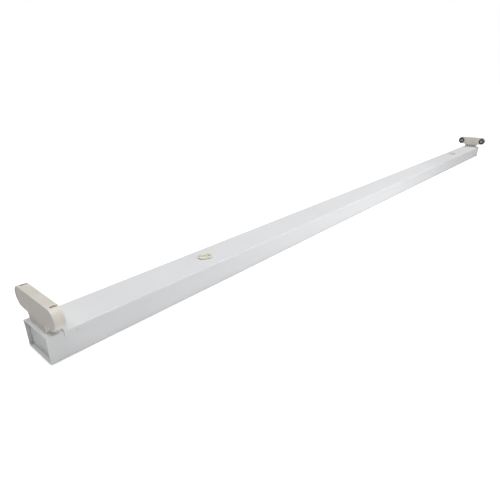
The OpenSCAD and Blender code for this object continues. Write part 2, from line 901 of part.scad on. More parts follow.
// Saddles that hold each pair of leads down on the floor
module lead_clips() {
  low_y = run_y[0] - lead_r - clip_play;
  high_y = run_y[1] + lead_r + clip_play;
  top_z = lead_z + lead_r + clip_play;
  color(beige)
    for (end = sides, x = clip_x)
      translate([end*x, 0, 0]) difference() {
        block([-clip_w/2, low_y - clip_t, sheet_t], [clip_w/2, high_y + clip_t, top_z + clip_t]);
        block([-clip_w/2 - cut, low_y, sheet_t - cut], [clip_w/2 + cut, high_y, top_z]);
      }
}

// Weld stud, tag and nut that bond the channel to earth
module earth_stud() {
  color(zinc) translate([earth_x, earth_y, sheet_t]) {
    cylinder(r = stud_foot_r, h = stud_foot_t);
    cylinder(r = stud_r, h = stud_h);
  }
}

module earth_tag() {
  color([0.80, 0.66, 0.35]) difference() {
    union() {
      translate([earth_x, earth_y, earth_z]) cylinder(r = tag_r, h = tag_t);
      block(
        [earth_x, earth_y - tag_neck_half, earth_z],
        [barrel_x + tag_barrel_l/2, earth_y + tag_neck_half, earth_z + tag_t]
      );
      rod_x(tag_barrel_r, barrel_x, barrel_x + tag_barrel_l, earth_y, earth_z + tag_barrel_r);
    }
    translate([earth_x, earth_y, earth_z - cut]) cylinder(r = stud_r + tag_play, h = tag_t + 2*cut);
    rod_x(lead_r + tag_play, barrel_x - cut, barrel_x + tag_barrel_l + cut, earth_y, earth_z + tag_barrel_r);
  }
}

module earth_nut() {
  color(zinc) translate([earth_x, earth_y, earth_z + tag_t]) difference() {
    cylinder(r = nut_r, h = nut_h, $fn = 6);
    translate([0, 0, -cut]) cylinder(r = stud_r + run_gap, h = nut_h + 2*cut);
  }
}

base_channel();
at_end(-1) end_plate();  // end_plate_near
at_end(1) end_plate();  // end_plate_far
at_end(-1) end_bridge();  // end_bridge_near
at_end(1) end_bridge();  // end_bridge_far
end_plate_rivets();
cover_lid();
at_end(-1) holder_body();  // holder_body_near
at_end(1) holder_body();  // holder_body_far
at_end(-1) holder_face();  // holder_face_near
at_end(1) holder_face();  // holder_face_far
at_end(-1) contacts();  // contacts_near
at_end(1) contacts();  // contacts_far
at_end(-1) socket_rotor(-1);  // rotor_near_left
at_end(-1) socket_rotor(1);  // rotor_near_right
at_end(1) socket_rotor(1);  // rotor_far_left
at_end(1) socket_rotor(-1);  // rotor_far_right
at_end(-1) rotor_core(-1);  // core_near_left
at_end(-1) rotor_core(1);  // core_near_right
at_end(1) rotor_core(1);  // core_far_left
at_end(1) rotor_core(-1);  // core_far_right
turn_knob(-1);  // turn_knob_near
turn_knob(1);  // turn_knob_far
latch_bar(-1);  // latch_bar_near
latch_bar(1);  // latch_bar_far
at_end(-1) latch_bracket();  // latch_bracket_near
at_end(1) latch_bracket();  // latch_bracket_far
bracket_rivets();
cable_bush();
terminal_block();
terminal_clamps();
terminal_screws();
block_fixing_screws();
color([0.45, 0.27, 0.16]) mirror([1, 0, 0]) lamp_leads();  // live_leads
color([0.16, 0.33, 0.62]) lamp_leads();  // neutral_leads
earth_lead();
lead_clips();
earth_stud();
earth_tag();
earth_nut();
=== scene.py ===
"""Dressed model of an open batten for two straight tubes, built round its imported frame.

The batten lies on its back. X runs along the tubes from the near end to the far end,
Y runs across, and Z = 0 is the face that goes against the ceiling. All sizes are metres.
"""
import logging
import math
from dataclasses import dataclass, field
from enum import Enum
from typing import Callable, Iterable, Sequence

import bmesh
import bpy
from mathutils import Matrix, Vector


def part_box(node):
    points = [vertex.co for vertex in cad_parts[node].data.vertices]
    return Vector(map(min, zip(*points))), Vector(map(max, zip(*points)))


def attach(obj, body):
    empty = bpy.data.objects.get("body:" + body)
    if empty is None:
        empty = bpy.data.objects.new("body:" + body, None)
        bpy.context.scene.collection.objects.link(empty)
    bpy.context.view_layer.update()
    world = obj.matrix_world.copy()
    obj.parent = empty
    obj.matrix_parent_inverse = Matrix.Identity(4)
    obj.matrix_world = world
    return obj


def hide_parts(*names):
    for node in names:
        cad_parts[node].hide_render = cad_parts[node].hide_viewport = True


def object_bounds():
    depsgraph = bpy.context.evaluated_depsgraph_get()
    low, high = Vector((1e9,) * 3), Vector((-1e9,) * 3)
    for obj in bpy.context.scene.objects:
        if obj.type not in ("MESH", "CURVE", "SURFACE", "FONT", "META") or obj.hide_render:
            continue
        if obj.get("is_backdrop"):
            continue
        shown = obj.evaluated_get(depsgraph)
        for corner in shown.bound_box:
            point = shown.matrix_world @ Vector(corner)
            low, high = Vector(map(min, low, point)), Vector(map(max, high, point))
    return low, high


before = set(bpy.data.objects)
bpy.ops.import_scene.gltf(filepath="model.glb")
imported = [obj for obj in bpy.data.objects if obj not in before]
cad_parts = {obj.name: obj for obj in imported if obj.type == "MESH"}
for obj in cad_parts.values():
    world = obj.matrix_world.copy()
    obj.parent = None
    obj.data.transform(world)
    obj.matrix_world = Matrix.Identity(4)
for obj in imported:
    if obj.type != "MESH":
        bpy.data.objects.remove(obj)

log = logging.getLogger("batten")

Point = tuple[float, float, float]
Shade = tuple[float, float, float]
Piece = bpy.types.Object
Material = bpy.types.Material
Tree = bpy.types.NodeTree
Values = dict[str | int, object]

MM = 0.001
SHADER = "Principled BSDF"
FACE_X = 0.7505
BODY_TOP = 0.030
LAMP_Z = 0.0503
LAMP_Y = 0.032
CUT = 1 * MM
FACING = 0.9
WINDOW_STEPS = (-1.5, -0.5, 0.5, 1.5)


class Pick(Enum):
    """What a selection in edit mode is made of."""

    POINTS = "VERT"
    EDGES = "EDGE"
    FACES = "FACE"


class End(Enum):
    """An end of the batten, as its sign along X."""

    NEAR = -1
    FAR = 1


class Side(Enum):
    """A side of the batten, as its sign along Y."""

    LEFT = 1
    RIGHT = -1

    @property
    def lamp_y(self) -> float:
        """Place of this side's tube axis across the batten."""
        return self.value * LAMP_Y


# The bench: small steps of modelling by hand


def edit() -> None:
    """Takes the active piece into edit mode."""
    bpy.ops.object.mode_set(mode="EDIT")


def leave() -> None:
    """Takes the active piece out of edit mode."""
    bpy.ops.object.mode_set(mode="OBJECT")


def fix_place() -> None:
    """Moves the active piece's place, turn and scale into its mesh."""
    bpy.ops.object.transform_apply(location=True, rotation=True, scale=True)


def pick_all() -> None:
    """Selects the whole mesh in edit mode."""
    bpy.ops.mesh.select_all(action="SELECT")


def shift(x: float, y: float, z: float) -> None:
    """Moves what is selected."""
    bpy.ops.transform.translate(value=(x, y, z))


def stretch(x: float, y: float, z: float, spot: Sequence[float]) -> None:
    """Scales what is selected about a spot."""
    bpy.ops.transform.resize(value=(x, y, z), center_override=spot)


def turn_z(angle: float, x: float) -> None:
    """Turns what is selected about an upright axis through (x, 0) and keeps it so."""
    bpy.ops.transform.rotate(value=angle, orient_axis="Z", center_override=(x, 0, 0))
    fix_place()


def clear_bench() -> None:
    """Leaves edit mode and deselects everything."""
    if bpy.context.object and bpy.context.object.mode != "OBJECT":
        leave()
    bpy.ops.object.select_all(action="DESELECT")


def take(piece: Piece) -> Piece:
    """Selects one piece alone and makes it the active one."""
    clear_bench()
    piece.select_set(True)
    bpy.context.view_layer.objects.active = piece
    return piece


def link(thing: Piece) -> Piece:
    """Puts a new object into the scene."""
    bpy.context.scene.collection.objects.link(thing)
    return thing


def settle(name: str) -> Piece:
    """Names the primitive just added and moves its place into its mesh.

    Args:
        name: The piece's name.

    Returns:
        The piece, at the origin, unturned and unscaled.
    """
    piece = bpy.context.object
    piece.name = name
    piece.data.name = name
    fix_place()
    return piece


def block(name: str, low: Sequence[float], high: Sequence[float]) -> Piece:
    """Adds a block between two corners.

    Args:
        name: The piece's name.
        low: Lowest corner.
        high: Highest corner.

    Returns:
        The block.
    """
    clear_bench()
    middle = [(a + b) / 2 for a, b in zip(low, high)]
    bpy.ops.mesh.primitive_cube_add(size=1, location=middle, scale=[b - a for a, b in zip(low, high)])
    return settle(name)


def rod(name: str, radius: float, start: Point, length: float, along: str = "X", sides: int = 64) -> Piece:
    """Adds a rod that starts at a point and runs along an axis.

    Args:
        name: The piece's name.
        radius: Radius of the rod.
        start: Middle of the rod's first end.
        length: Length, negative to run the other way.
        along: "X" or "Z".
        sides: Number of faces round the rod.

    Returns:
        The rod.
    """
    clear_bench()
    step = Vector((length / 2, 0, 0)) if along == "X" else Vector((0, 0, length / 2))
    turn = (0, math.pi / 2, 0) if along == "X" else (0, 0, 0)
    bpy.ops.mesh.primitive_cylinder_add(
        vertices=sides, radius=radius, depth=abs(length), location=Vector(start) + step, rotation=turn
    )
    return settle(name)


def pick(piece: Piece, kind: Pick, test: Callable[[Vector, Vector], bool]) -> None:
    """Selects, in edit mode, the parts of a mesh that pass a test.

    Args:
        piece: The piece, already in edit mode.
        kind: Points, edges or faces.
        test: Takes the middle and the normal, which is zero for an edge.
    """
    bpy.ops.mesh.select_mode(type=kind.value)
    bpy.ops.mesh.select_all(action="DESELECT")
    shape = bmesh.from_edit_mesh(piece.data)
    if kind is Pick.POINTS:
        parts = [(point, point.co, point.normal) for point in shape.verts]
    elif kind is Pick.EDGES:
        parts = [(edge, (edge.verts[0].co + edge.verts[1].co) / 2, Vector((0, 0, 0))) for edge in shape.edges]
    else:
        parts = [(face, face.calc_center_median(), face.normal) for face in shape.faces]
    for part, middle, normal in parts:
        if test(middle, normal):
            part.select_set(True)
    shape.select_flush_mode()
    bmesh.update_edit_mesh(piece.data)


def extrude(step: Sequence[float]) -> None:
    """Extrudes what is selected by a step."""
    bpy.ops.mesh.extrude_region_move(TRANSFORM_OT_translate={"value": tuple(step)})


def finish_with(piece: Piece, kind: str, **settings: object) -> Piece:
    """Adds one modifier to a piece and applies it.

    Args:
        piece: The piece.
        kind: The modifier's type.
        **settings: Values of the modifier.

    Returns:
        The piece.
    """
    take(piece)
    modifier = piece.modifiers.new(kind.title(), kind)
    for key, value in settings.items():
        setattr(modifier, key, value)
    bpy.ops.object.modifier_apply(modifier=modifier.name)
    return piece


def carve(piece: Piece, *cutters: Piece) -> Piece:
    """Cuts each cutter out of a piece and clears the cutters away."""
    for cutter in cutters:
        finish_with(piece, "BOOLEAN", operation="DIFFERENCE", solver="EXACT", object=cutter)
        bpy.data.objects.remove(cutter)
    return piece


def fuse(piece: Piece, *others: Piece) -> Piece:
    """Joins solids that touch or overlap into one skin."""
    for other in others:
        finish_with(piece, "BOOLEAN", operation="UNION", solver="EXACT", object=other)
        bpy.data.objects.remove(other)
    return piece


def tidy_skin(piece: Piece) -> Piece:
    """Merges doubles, drops needless edges on flats and turns the skin outwards."""
    take(piece)
    edit()
    pick_all()
    bpy.ops.mesh.remove_doubles(threshold=2e-6)
    bpy.ops.mesh.dissolve_limited(angle_limit=math.radians(0.6))
    pick_all()
    bpy.ops.mesh.normals_make_consistent(inside=False)
    leave()
    return piece


def soften(piece: Piece, width: float, segments: int = 3, over: float = 40.0) -> Piece:
    """Rounds the edges of a moulded or pressed piece and shades it smooth.

    Args:
        piece: The piece.
        width: How far from the edge the round starts.
        segments: Faces across the round.
        over: Only edges that turn by more than this many degrees are rounded.

    Returns:
        The piece.
    """
    take(piece)
    bpy.ops.object.shade_smooth_by_angle(angle=math.radians(35))
    return finish_with(
        piece, "BEVEL", width=width, segments=segments, limit_method="ANGLE",
        angle_limit=math.radians(over), harden_normals=True, use_clamp_overlap=True,
    )


def smooth(piece: Piece, degrees: float = 35.0) -> Piece:
    """Shades a piece smooth across edges that turn less than the angle."""
    take(piece)
    bpy.ops.object.shade_smooth_by_angle(angle=math.radians(degrees))
    return piece


def copy_of(piece: Piece, name: str) -> Piece:
    """Copies a piece with a mesh of its own."""
    take(piece)
    bpy.ops.object.duplicate(linked=False)
    twin = bpy.context.object
    twin.name = name
    twin.data.name = name
    return twin


def turned_round(piece: Piece, name: str) -> Piece:
    """Copies a piece of the far end and turns the copy round to the near end.

    Args:
        piece: The piece at the far end.
        name: Name of the copy.

    Returns:
        The copy at the near end.
    """
    twin = take(copy_of(piece, name))
    turn_z(math.pi, 0)
    return twin


def joined(name: str, pieces: Sequence[Piece]) -> Piece:
    """Puts several separate solids into one piece.

    Args:
        name: Name of the whole.
        pieces: The solids, of which the first becomes the whole.

    Returns:
        The whole.
    """
    clear_bench()
    for piece in pieces:
        piece.select_set(True)
    bpy.context.view_layer.objects.active = pieces[0]
    if len(pieces) > 1:
        bpy.ops.object.join()
    pieces[0].name = name
    pieces[0].data.name = name
    return pieces[0]


def rounded_copy(node: str, name: str, width: float, segments: int = 2, over: float = 40.0) -> Piece:
    """Copies a node's solid and rounds its edges, as a mould or press leaves them.

    Args:
        node: The node whose shape is right but too sharp.
        name: Name of the new piece.
        width: Width of the round.
        segments: Faces across the round.
        over: Only edges that turn by more than this many degrees are rounded.

    Returns:
        The new piece.
    """
    clear_bench()
    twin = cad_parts[node].copy()
    twin.data = twin.data.copy()
    for key in list(twin.keys()):
        del twin[key]
    twin.parent = None
    twin.name = name
    twin.data.name = name
    link(twin)
    tidy_skin(twin)
    return soften(twin, width, segments, over)


def dress(piece: Piece, finishes: Sequence[Material]) -> Piece:
    """Gives a piece its materials."""
    piece.data.materials.clear()
    for finish in finishes:
        piece.data.materials.append(finish)
    return piece


def second_finish(piece: Piece, finish: Material, test: Callable[[Vector, Vector], bool]) -> None:
    """Gives the faces that pass a test a second finish.

    Args:
        piece: The piece, already dressed in its first finish.
        finish: The second finish.
        test: Takes a face's middle and its normal.
    """
    piece.data.materials.append(finish)
    for face in piece.data.polygons:
        if test(face.center, face.normal):
            face.material_index = 1


def place(piece: Piece, finish: Material, body: str, slot: str, *nodes: str) -> Piece:
    """Dresses a finished piece, lets it ride and has it stand for its nodes.

    Args:
        piece: The finished piece.
        finish: Its material.
        body: The body that it moves with.
        slot: The record's material slot; not used.
        *nodes: The nodes that it stands for.

    Returns:
        The piece.
    """
    dress(piece, [finish])
    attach(piece, body)
    if nodes:
        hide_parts(*nodes)
    log.info("%s: %d faces, rides on %s", piece.name, len(piece.data.polygons), body)
    return piece


# Effects that several finishes share


def fill(node: bpy.types.Node, values: Values) -> None:
    """Sets the starting values of a node's inputs, by name or number."""
    for key, value in values.items():
        node.inputs[key].default_value = value


def add(tree: Tree, kind: str, name: str, values: Values | None = None, **traits: object) -> None:
    """Adds a named node to a tree.

    Args:
        tree: The tree.
        kind: The node's type without the words ShaderNode.
        name: The name that wire() knows it by.
        values: Starting values of its inputs.
        **traits: Traits of the node, such as its operation.
    """
    node = tree.nodes.new(f"ShaderNode{kind}")
    node.name = name
    for key, value in traits.items():
        setattr(node, key, value)
    fill(node, values or {})


def wire(tree: Tree, *links: tuple[str, str]) -> None:
    """Links outputs to inputs.

    Args:
        tree: The tree.
        *links: Pairs of output and input, each as node.socket with the socket's name or number.
    """
    for pair in links:
        (start, out), (end, into) = (
            (name, int(key) if key.isdigit() else key) for name, key in (spot.split(".") for spot in pair)
        )
        tree.links.new(tree.nodes[start].outputs[out], tree.nodes[end].inputs[into])


def empty_group(name: str, inputs: Sequence[tuple[str, str, object]], output_kinds: dict[str, str]) -> Tree:
    """Starts a shader node group with named sockets.

    Args:
        name: Name of the group.
        inputs: Label, kind and starting value of each input.
        output_kinds: Kind of each output by its label.

    Returns:
        The group's tree, with its input and output nodes.
    """
    tree = bpy.data.node_groups.new(name, "ShaderNodeTree")
    for label, kind, value in inputs:
        socket = tree.interface.new_socket(name=label, in_out="INPUT", socket_type=f"NodeSocket{kind}")
        if value is not None:
            socket.default_value = value
    for label, kind in output_kinds.items():
        tree.interface.new_socket(name=label, in_out="OUTPUT", socket_type=f"NodeSocket{kind}")
    tree.nodes.new("NodeGroupInput").name = "in"
    tree.nodes.new("NodeGroupOutput").name = "out"
    return tree


def tone_group() -> Tree:
    """Makes the slow drift of colour and gloss that every real surface has.

    Returns:
        The group, which puts out a colour and a roughness.
    """
    tree = empty_group(
        "tone_drift",
        [("Place", "Vector", None), ("Light", "Color", (1, 1, 1, 1)), ("Dark", "Color", (0.9, 0.9, 0.9, 1)),
         ("Scale", "Float", 20.0), ("Gloss low", "Float", 0.35), ("Gloss high", "Float", 0.45)],
        {"Color": "Color", "Roughness": "Float"},
    )
    add(tree, "TexNoise", "cloud", {"Detail": 4.0, "Roughness": 0.6})
    add(tree, "MapRange", "spread", {"From Min": 0.3, "From Max": 0.7})
    add(tree, "Mix", "mix", data_type="RGBA")
    add(tree, "MapRange", "gloss")
    wire(
        tree, ("in.Place", "cloud.Vector"), ("in.Scale", "cloud.Scale"), ("cloud.Fac", "spread.Value"),
        ("spread.Result", "mix.0"), ("in.Dark", "mix.6"), ("in.Light", "mix.7"),
        ("spread.Result", "gloss.Value"), ("in.Gloss low", "gloss.To Min"), ("in.Gloss high", "gloss.To Max"),
        ("mix.2", "out.Color"), ("gloss.Result", "out.Roughness"),
    )
    return tree


def grain_group() -> Tree:
    """Makes the fine relief of powder coat and of a spark-eroded mould.

    Returns:
        The group, which puts out a height.
    """
    tree = empty_group(
        "fine_grain",
        [("Place", "Vector", None), ("Scale", "Float", 900.0), ("Fine share", "Float", 0.35)],
        {"Height": "Float"},
    )
    add(tree, "TexNoise", "coarse", {"Detail": 2.0})
    add(tree, "Math", "finer", {1: 3.7}, operation="MULTIPLY")
    add(tree, "TexNoise", "fine", {"Detail": 1.0})
    add(tree, "Mix", "blend")
    wire(
        tree, ("in.Place", "coarse.Vector"), ("in.Scale", "coarse.Scale"), ("in.Scale", "finer.0"),
        ("in.Place", "fine.Vector"), ("finer.0", "fine.Scale"), ("in.Fine share", "blend.0"),
        ("coarse.Fac", "blend.2"), ("fine.Fac", "blend.3"), ("blend.0", "out.Height"),
    )
    return tree


def rub_group() -> Tree:
    """Makes the thin, long rub marks that handling leaves on sheet and plastic.

    Returns:
        The group, which puts out a mask.
    """
    tree = empty_group(
        "rub_marks",
        [("Place", "Vector", None), ("Stretch", "Vector", (12.0, 700.0, 700.0)),
         ("Threshold", "Float", 0.68)],
        {"Mask": "Float"},
    )
    add(tree, "VectorMath", "stretch", operation="MULTIPLY")
    add(tree, "TexNoise", "streaks", {"Scale": 1.0, "Detail": 3.0})
    add(tree, "Math", "above", {1: 0.12}, operation="ADD")
    add(tree, "MapRange", "mask")
    wire(
        tree, ("in.Place", "stretch.0"), ("in.Stretch", "stretch.1"), ("stretch.0", "streaks.Vector"),
        ("streaks.Fac", "mask.Value"), ("in.Threshold", "mask.From Min"), ("in.Threshold", "above.0"),
        ("above.0", "mask.From Max"), ("mask.Result", "out.Mask"),
    )
    return tree


@dataclass
class Effects:
    """The shared effects, each built once."""

    tone: Tree = field(default_factory=tone_group)
    grain: Tree = field(default_factory=grain_group)
    rub: Tree = field(default_factory=rub_group)


# Finishes


@dataclass(frozen=True)
class Finish:
    """One finish: its colours, its gloss and the relief of its surface."""

    name: str
    light: Shade
    dark: Shade
    gloss: tuple[float, float] = (0.35, 0.45)
    drift_scale: float = 20.0
    grain_scale: float = 900.0
    grain_depth: float = 0.00001
    fine_share: float = 0.35
    metallic: float = 0.0
    specular: float = 0.5
    rub: float = 0.0
    rub_shade: Shade = (0.5, 0.5, 0.5)
    rub_stretch: Point = (12.0, 700.0, 700.0)
    rub_from: float = 0.68
    scatter: float = 0.0
    scatter_radius: Point = (0.002, 0.0018, 0.0014)

    def build(self, effects: Effects) -> Material:
        """Builds the finish's material.

        Args:
            effects: The shared node groups.

        Returns:
            The material.
        """
        material = bpy.data.materials.new(self.name)
        material.use_nodes = True
        material.diffuse_color = (*self.light, 1)
        tree = material.node_tree
        add(tree, "TexCoord", "place")
        add(tree, "Group", "tone", {
            "Light": (*self.light, 1), "Dark": (*self.dark, 1), "Scale": self.drift_scale,
            "Gloss low": self.gloss[0], "Gloss high": self.gloss[1],
        }, node_tree=effects.tone)
        add(tree, "Group", "grain", {
            "Scale": self.grain_scale, "Fine share": self.fine_share,
        }, node_tree=effects.grain)
        add(tree, "Bump", "bump", {"Strength": 1.0, "Distance": self.grain_depth})
        colour = self._rubbed(tree, effects) if self.rub > 0 else "tone.Color"
        wire(
            tree, ("place.Object", "tone.Place"), (colour, f"{SHADER}.Base Color"),
            ("tone.Roughness", f"{SHADER}.Roughness"), ("place.Object", "grain.Place"),
            ("grain.Height", "bump.Height"), ("bump.Normal", f"{SHADER}.Normal"),
        )
        shader = tree.nodes[SHADER]
        fill(shader, {"Metallic": self.metallic, "Specular IOR Level": self.specular})
        if self.scatter > 0:
            fill(shader, {
                "Subsurface Weight": self.scatter, "Subsurface Radius": self.scatter_radius,
                "Subsurface Scale": 1.0,
            })
        return material

    def _rubbed(self, tree: Tree, effects: Effects) -> str:
        """Lays rub marks over the colour.

        Args:
            tree: The material's tree, with its place and tone nodes.
            effects: The shared node groups.

        Returns:
            The output that gives the colour with the marks.
        """
        add(tree, "Group", "rub", {
            "Stretch": self.rub_stretch, "Threshold": self.rub_from,
        }, node_tree=effects.rub)
        add(tree, "Math", "amount", {1: self.rub}, operation="MULTIPLY")
        add(tree, "Mix", "rubbed", {7: (*self.rub_shade, 1)}, data_type="RGBA")
        wire(
            tree, ("place.Object", "rub.Place"), ("rub.Mask", "amount.0"), ("amount.0", "rubbed.0"),
            ("tone.Color", "rubbed.6"),
        )
        return "rubbed.2"


class Palette:
    """All the finishes of the batten."""

    def __init__(self, effects: Effects) -> None:
        """Builds each finish once."""
        self.white = Finish(
            "white_powder_coat", (0.625, 0.628, 0.635), (0.600, 0.604, 0.613), (0.42, 0.52), 6.0, 650.0,
            0.000014, 0.25, specular=0.1, rub=0.10, rub_shade=(0.50, 0.50, 0.51), rub_from=0.66,
        ).build(effects)
        self.zinc = Finish(
            "bright_zinc", (0.63, 0.64, 0.66), (0.50, 0.51, 0.52), (0.28, 0.46), 140.0, 1600.0, 0.000006, 0.5,
            metallic=1.0, rub=0.35, rub_shade=(0.40, 0.40, 0.39),
            rub_stretch=(300.0, 900.0, 900.0), rub_from=0.6,
        ).build(effects)
        self.beige = Finish(
            "beige_moulding", (0.60, 0.575, 0.525), (0.555, 0.53, 0.48), (0.36, 0.48), 45.0, 2400.0,
            0.000010, 0.5, scatter=0.06, rub=0.12, rub_shade=(0.47, 0.44, 0.39),
            rub_stretch=(900.0, 60.0, 700.0),
        ).build(effects)
        # Matt panel finish whose colour is darker than the beige: painted shade on the sunk rear panel.
        self.beige_matt_painted_shade = Finish(
            "beige_panel_painted_shade", (0.50, 0.478, 0.445), (0.46, 0.44, 0.405), (0.5, 0.62), 45.0, 1500.0,
            0.000016, 0.5, scatter=0.04,
        ).build(effects)
        self.black = Finish(
            "black_moulding", (0.016, 0.016, 0.017), (0.009, 0.009, 0.010), (0.34, 0.46), 90.0, 2600.0,
            0.000008, 0.5, rub=0.25, rub_shade=(0.07, 0.07, 0.07), rub_stretch=(900.0, 300.0, 300.0),
        ).build(effects)
        self.core = Finish(
            "pale_core", (0.50, 0.49, 0.46), (0.45, 0.44, 0.41), (0.24, 0.34), 120.0, 2400.0, 0.000005,
            0.5, scatter=0.08,
        ).build(effects)
        self.nylon_near = Finish(
            "warm_nylon", (0.63, 0.61, 0.52), (0.57, 0.55, 0.45), (0.26, 0.38), 110.0, 1800.0, 0.000006,
            0.4, scatter=0.35, scatter_radius=(0.004, 0.0035, 0.002),
        ).build(effects)
        self.nylon_far = Finish(
            "pale_nylon", (0.58, 0.58, 0.55), (0.52, 0.52, 0.49), (0.26, 0.38), 110.0, 1800.0, 0.000006,
            0.4, scatter=0.35, scatter_radius=(0.004, 0.0035, 0.003),
        ).build(effects)
        self.terminal = Finish(
            "pale_terminal_moulding", (0.66, 0.66, 0.62), (0.60, 0.60, 0.56), (0.30, 0.42), 70.0, 2400.0,
            0.000006, 0.5, scatter=0.15,
        ).build(effects)
        self.brass = Finish(
            "stamped_brass", (0.68, 0.50, 0.22), (0.55, 0.38, 0.15), (0.24, 0.42), 200.0, 1800.0, 0.000005,
            0.5, metallic=1.0, rub=0.3, rub_shade=(0.40, 0.27, 0.12),
            rub_stretch=(500.0, 900.0, 900.0), rub_from=0.62,
        ).build(effects)
        self.dull_brass = Finish(
            "dull_brass", (0.26, 0.215, 0.135), (0.19, 0.155, 0.095), (0.42, 0.58), 200.0, 1800.0, 0.000005,
            0.5, metallic=1.0,
        ).build(effects)
        self.rubber = Finish(
            "soft_black_rubber", (0.022, 0.022, 0.023), (0.014, 0.014, 0.015), (0.62, 0.8), 120.0, 2200.0,
            0.000012, 0.6, specular=0.3,
        ).build(effects)
        self.sleeves = {
            colour: Finish(
                f"{colour}_sleeve", light, dark, (0.34, 0.46), 90.0, 1800.0, 0.000005, 0.5
            ).build(effects)
            for colour, light, dark in (
                ("brown", (0.115, 0.045, 0.020), (0.085, 0.032, 0.014)),
                ("blue", (0.022, 0.075, 0.26), (0.016, 0.055, 0.20)),
                ("green", (0.035, 0.20, 0.040), (0.026, 0.15, 0.030)),
                ("yellow", (0.70, 0.56, 0.045), (0.62, 0.48, 0.035)),
            )
        }


# Studio


@dataclass
class Studio:
    """Camera, floor and soft light."""

    eye: Point = (-0.871386, -0.363930, 0.243725)
    right: Point = (0.6559055, -0.7548369, -0.0030491)
    up: Point = (0.2933580, 0.2511835, 0.9224142)
    back: Point = (-0.6955064, -0.6059110, 0.3861901)
    lens: float = 28.7265

    def camera(self) -> None:
        """Sets the camera at the picture's viewpoint."""
        data = bpy.data.cameras.new("viewpoint")
        data.lens = self.lens
        data.sensor_width = 36.0
        data.clip_start = 0.01
        data.clip_end = 50.0
        camera = bpy.data.objects.new("viewpoint", data)
        turn = Matrix((self.right, self.up, self.back)).transposed().to_4x4()
        camera.matrix_world = Matrix.Translation(self.eye) @ turn
        link(camera)
        bpy.context.scene.camera = camera

    def floor(self, effects: Effects) -> None:
        """Lays a plain pale floor just under the batten, which glows a little for the camera alone."""
        clear_bench()
        bpy.ops.mesh.primitive_plane_add(size=60.0, location=(0, 0, -0.0003))
        plane = settle("floor")
        pale = Finish("pale_floor", (0.92, 0.92, 0.92), (0.915, 0.915, 0.915), (0.75, 0.85), 1.0, 60.0,
                      0.0, 0.5, specular=0.15).build(effects)
        tree = pale.node_tree
        add(tree, "LightPath", "rays")
        add(tree, "MapRange", "glow", {"To Max": 0.3})
        wire(tree, ("rays.Is Camera Ray", "glow.Value"), ("glow.Result", f"{SHADER}.Emission Color"))
        fill(tree.nodes[SHADER], {"Emission Strength": 1.0})
        dress(plane, [pale])
        plane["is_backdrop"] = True

    def lights(self) -> None:
        """Sets wide, even light from above, a soft fill for the side and one for the far end, and the sky."""
        data = bpy.data.lights.new("even_light", "SUN")
        data.energy = 2.95
        data.angle = math.radians(60)
        link(bpy.data.objects.new("even_light", data))
        self._panel("side_fill", (-0.15, -0.75, 0.30), (-0.15, 0, 0.02), (0.45, 0.3), 3.3)
        self._panel("far_fill", (0.0, -0.1, 0.62), (0.75, 0, 0.04), (0.3, 0.3), 0.5)
        bpy.context.scene.view_settings.view_transform = "Standard"
        self._sky()

    def _sky(self) -> None:
        """Sets a sky that lights the scene dimly and that the camera sees as white."""
        world = bpy.data.worlds.new("pale_sky")
        world.use_nodes = True
        tree = world.node_tree
        add(tree, "LightPath", "rays")
        add(tree, "MapRange", "strength", {"To Min": 0.16, "To Max": 1.0})
        fill(tree.nodes["Background"], {"Color": (1.0, 1.0, 1.0, 1)})
        wire(tree, ("rays.Is Camera Ray", "strength.Value"), ("strength.Result", "Background.Strength"))
        bpy.context.scene.world = world

    def _panel(self, name: str, spot: Point, target: Point, size: tuple[float, float], power: float) -> None:
        """Hangs one soft panel.

        Args:
            name: Name of the light.
            spot: Where it hangs.
            target: What it faces.
            size: Width and height.
            power: Power in watts.
        """
        data = bpy.data.lights.new(name, "AREA")
        data.shape = "RECTANGLE"
        data.size, data.size_y = size
        data.energy = power
        panel = bpy.data.objects.new(name, data)
        panel.location = spot
        panel.rotation_euler = (Vector(target) - Vector(spot)).to_track_quat("-Z", "Y").to_euler()
        panel.visible_camera = False
        link(panel)


# Sub-assemblies


